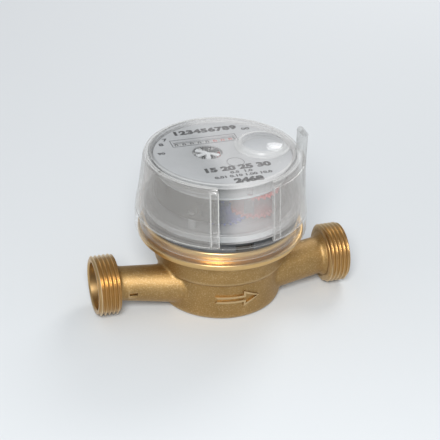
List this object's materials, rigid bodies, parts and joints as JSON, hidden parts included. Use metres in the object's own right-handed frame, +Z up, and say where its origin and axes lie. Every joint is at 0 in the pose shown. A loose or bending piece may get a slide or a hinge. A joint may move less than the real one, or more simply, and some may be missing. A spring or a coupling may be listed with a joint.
{
  "type": "water meter",
  "caption": "Single-jet water meter with a brass threaded body, a turning clear register housing, turbine, magnetic drive, gear train and number drums.",
  "frame": {"origin": "centre of the cup's flat underside, on the axis of the turbine and register", "axes": "+Z up along the turbine and register axis, +X along the pipe from inlet to outlet, -Y towards the side the dial is read from"},
  "size_m": [0.115, 0.0754, 0.0746],
  "materials": {
    "cast_brass": "cast and sand-blasted, matt",
    "turned_brass": "machined, bright",
    "steel": "turned stainless steel",
    "magnet": "sintered ferrite, dark and matt",
    "rubber": "moulded rubber, matt",
    "clear_plastic": "clear moulded plastic, faintly frosted",
    "pale_plastic": "moulded, light grey",
    "white_plastic": "moulded, off-white",
    "dark_plastic": "moulded, dark grey",
    "blue_plastic": "moulded, blue",
    "red_plastic": "moulded, red"
  },
  "bodies": {
    "flow_body": {"meter_body": "cast_brass", "inlet_strainer": "steel", "lower_bearing": "steel", "sealing_plate": "turned_brass", "cover_seal": "rubber", "clamp_ring": "turned_brass", "field_shield": "steel"},
    "turbine": {"impeller": "white_plastic", "impeller_shaft": "steel", "driving_magnet": "magnet"},
    "register": {"register_gasket": "rubber", "register_base": "pale_plastic", "base_skirt": "clear_plastic", "register_capsule": "clear_plastic", "register_shroud": "clear_plastic", "train_plate": "dark_plastic", "plate_screw_1": "steel", "plate_screw_2": "steel", "plate_screw_3": "steel", "bridge_plate": "pale_plastic", "dial_plate": "white_plastic", "drum_shaft": "steel", "carry_shaft": "steel"},
    "follower": {"follower_magnet": "magnet", "follower_spindle": "white_plastic"},
    "star": {"star_spindle": "white_plastic"},
    "first_wheel_set": {"first_wheel": "blue_plastic"},
    "second_wheel_set": {"second_wheel": "red_plastic"},
    "target": {"target_spindle": "white_plastic"},
    "worm": {"worm_spindle": "white_plastic"},
    "drum_8": {"number_drum_8": "white_plastic", "worm_wheel": "white_plastic"},
    "drum_7": {"number_drum_7": "white_plastic"},
    "drum_6": {"number_drum_6": "white_plastic"},
    "drum_5": {"number_drum_5": "white_plastic"},
    "drum_4": {"number_drum_4": "white_plastic"},
    "drum_3": {"number_drum_3": "white_plastic"},
    "drum_2": {"number_drum_2": "white_plastic"},
    "drum_1": {"number_drum_1": "white_plastic"},
    "carry_1": {"carry_pinion_1": "white_plastic"},
    "carry_2": {"carry_pinion_2": "white_plastic"},
    "carry_3": {"carry_pinion_3": "white_plastic"},
    "carry_4": {"carry_pinion_4": "white_plastic"},
    "carry_5": {"carry_pinion_5": "white_plastic"},
    "carry_6": {"carry_pinion_6": "white_plastic"},
    "carry_7": {"carry_pinion_7": "white_plastic"}
  },
  "joints": [
    {"name": "impeller_spin", "type": "hinge", "parent": "flow_body", "child": "turbine", "pos_m": [0, 0, 0], "axis": [0, 0, 1], "continuous": true},
    {"name": "register_turn", "type": "hinge", "parent": "flow_body", "child": "register", "pos_m": [0, 0, 0], "axis": [0, 0, 1], "range_deg": [-175, 175]},
    {"name": "follower_spin", "type": "hinge", "parent": "register", "child": "follower", "pos_m": [0, 0, 0.03], "axis": [0, 0, 1], "continuous": true},
    {"name": "star_spin", "type": "hinge", "parent": "register", "child": "star", "pos_m": [-0.00576, 0.00332, 0.05], "axis": [0, 0, 1], "continuous": true},
    {"name": "first_wheel_spin", "type": "hinge", "parent": "register", "child": "first_wheel_set", "pos_m": [-0.00338, -0.01261, 0.045], "axis": [0, 0, 1], "continuous": true},
    {"name": "second_wheel_spin", "type": "hinge", "parent": "register", "child": "second_wheel_set", "pos_m": [0.00957, -0.01426, 0.045], "axis": [0, 0, 1], "continuous": true},
    {"name": "target_spin", "type": "hinge", "parent": "register", "child": "target", "pos_m": [0.0175, -0.001, 0.05], "axis": [0, 0, 1], "continuous": true},
    {"name": "worm_spin", "type": "hinge", "parent": "register", "child": "worm", "pos_m": [0.0145, 0.00669, 0.05], "axis": [0, 0, 1], "continuous": true},
    {"name": "drum_8_turn", "type": "hinge", "parent": "register", "child": "drum_8", "pos_m": [0, 0.01419, 0.0603], "axis": [1, 0, 0], "continuous": true},
    {"name": "drum_7_turn", "type": "hinge", "parent": "register", "child": "drum_7", "pos_m": [0, 0.01419, 0.0603], "axis": [1, 0, 0], "continuous": true},
    {"name": "drum_6_turn", "type": "hinge", "parent": "register", "child": "drum_6", "pos_m": [0, 0.01419, 0.0603], "axis": [1, 0, 0], "continuous": true},
    {"name": "drum_5_turn", "type": "hinge", "parent": "register", "child": "drum_5", "pos_m": [0, 0.01419, 0.0603], "axis": [1, 0, 0], "continuous": true},
    {"name": "drum_4_turn", "type": "hinge", "parent": "register", "child": "drum_4", "pos_m": [0, 0.01419, 0.0603], "axis": [1, 0, 0], "continuous": true},
    {"name": "drum_3_turn", "type": "hinge", "parent": "register", "child": "drum_3", "pos_m": [0, 0.01419, 0.0603], "axis": [1, 0, 0], "continuous": true},
    {"name": "drum_2_turn", "type": "hinge", "parent": "register", "child": "drum_2", "pos_m": [0, 0.01419, 0.0603], "axis": [1, 0, 0], "continuous": true},
    {"name": "drum_1_turn", "type": "hinge", "parent": "register", "child": "drum_1", "pos_m": [0, 0.01419, 0.0603], "axis": [1, 0, 0], "continuous": true},
    {"name": "carry_1_turn", "type": "hinge", "parent": "register", "child": "carry_1", "pos_m": [0, 0.01816, 0.05341], "axis": [1, 0, 0], "continuous": true},
    {"name": "carry_2_turn", "type": "hinge", "parent": "register", "child": "carry_2", "pos_m": [0, 0.01816, 0.05341], "axis": [1, 0, 0], "continuous": true},
    {"name": "carry_3_turn", "type": "hinge", "parent": "register", "child": "carry_3", "pos_m": [0, 0.01816, 0.05341], "axis": [1, 0, 0], "continuous": true},
    {"name": "carry_4_turn", "type": "hinge", "parent": "register", "child": "carry_4", "pos_m": [0, 0.01816, 0.05341], "axis": [1, 0, 0], "continuous": true},
    {"name": "carry_5_turn", "type": "hinge", "parent": "register", "child": "carry_5", "pos_m": [0, 0.01816, 0.05341], "axis": [1, 0, 0], "continuous": true},
    {"name": "carry_6_turn", "type": "hinge", "parent": "register", "child": "carry_6", "pos_m": [0, 0.01816, 0.05341], "axis": [1, 0, 0], "continuous": true},
    {"name": "carry_7_turn", "type": "hinge", "parent": "register", "child": "carry_7", "pos_m": [0, 0.01816, 0.05341], "axis": [1, 0, 0], "continuous": true}
  ],
  "couplings": [
    {"joint": "follower_spin", "follows": "impeller_spin", "ratio": 1},
    {"joint": "star_spin", "follows": "impeller_spin", "ratio": -1},
    {"joint": "first_wheel_spin", "follows": "impeller_spin", "ratio": -0.33333},
    {"joint": "second_wheel_spin", "follows": "impeller_spin", "ratio": 0.11111},
    {"joint": "target_spin", "follows": "impeller_spin", "ratio": -0.24074},
    {"joint": "worm_spin", "follows": "impeller_spin", "ratio": 0.36111},
    {"joint": "drum_8_turn", "follows": "impeller_spin", "ratio": 0.018056},
    {"joint": "drum_7_turn", "follows": "impeller_spin", "ratio": 0.0018056},
    {"joint": "drum_6_turn", "follows": "impeller_spin", "ratio": 0.00018056},
    {"joint": "drum_5_turn", "follows": "impeller_spin", "ratio": 0.000018056},
    {"joint": "drum_4_turn", "follows": "impeller_spin", "ratio": 0.0000018056},
    {"joint": "drum_3_turn", "follows": "impeller_spin", "ratio": 0.00000018056},
    {"joint": "drum_2_turn", "follows": "impeller_spin", "ratio": 0.000000018056},
    {"joint": "drum_1_turn", "follows": "impeller_spin", "ratio": 0.0000000018056},
    {"joint": "carry_1_turn", "follows": "impeller_spin", "ratio": -0.0000000045139},
    {"joint": "carry_2_turn", "follows": "impeller_spin", "ratio": -0.000000045139},
    {"joint": "carry_3_turn", "follows": "impeller_spin", "ratio": -0.00000045139},
    {"joint": "carry_4_turn", "follows": "impeller_spin", "ratio": -0.0000045139},
    {"joint": "carry_5_turn", "follows": "impeller_spin", "ratio": -0.000045139},
    {"joint": "carry_6_turn", "follows": "impeller_spin", "ratio": -0.00045139},
    {"joint": "carry_7_turn", "follows": "impeller_spin", "ratio": -0.0045139}
  ]
}
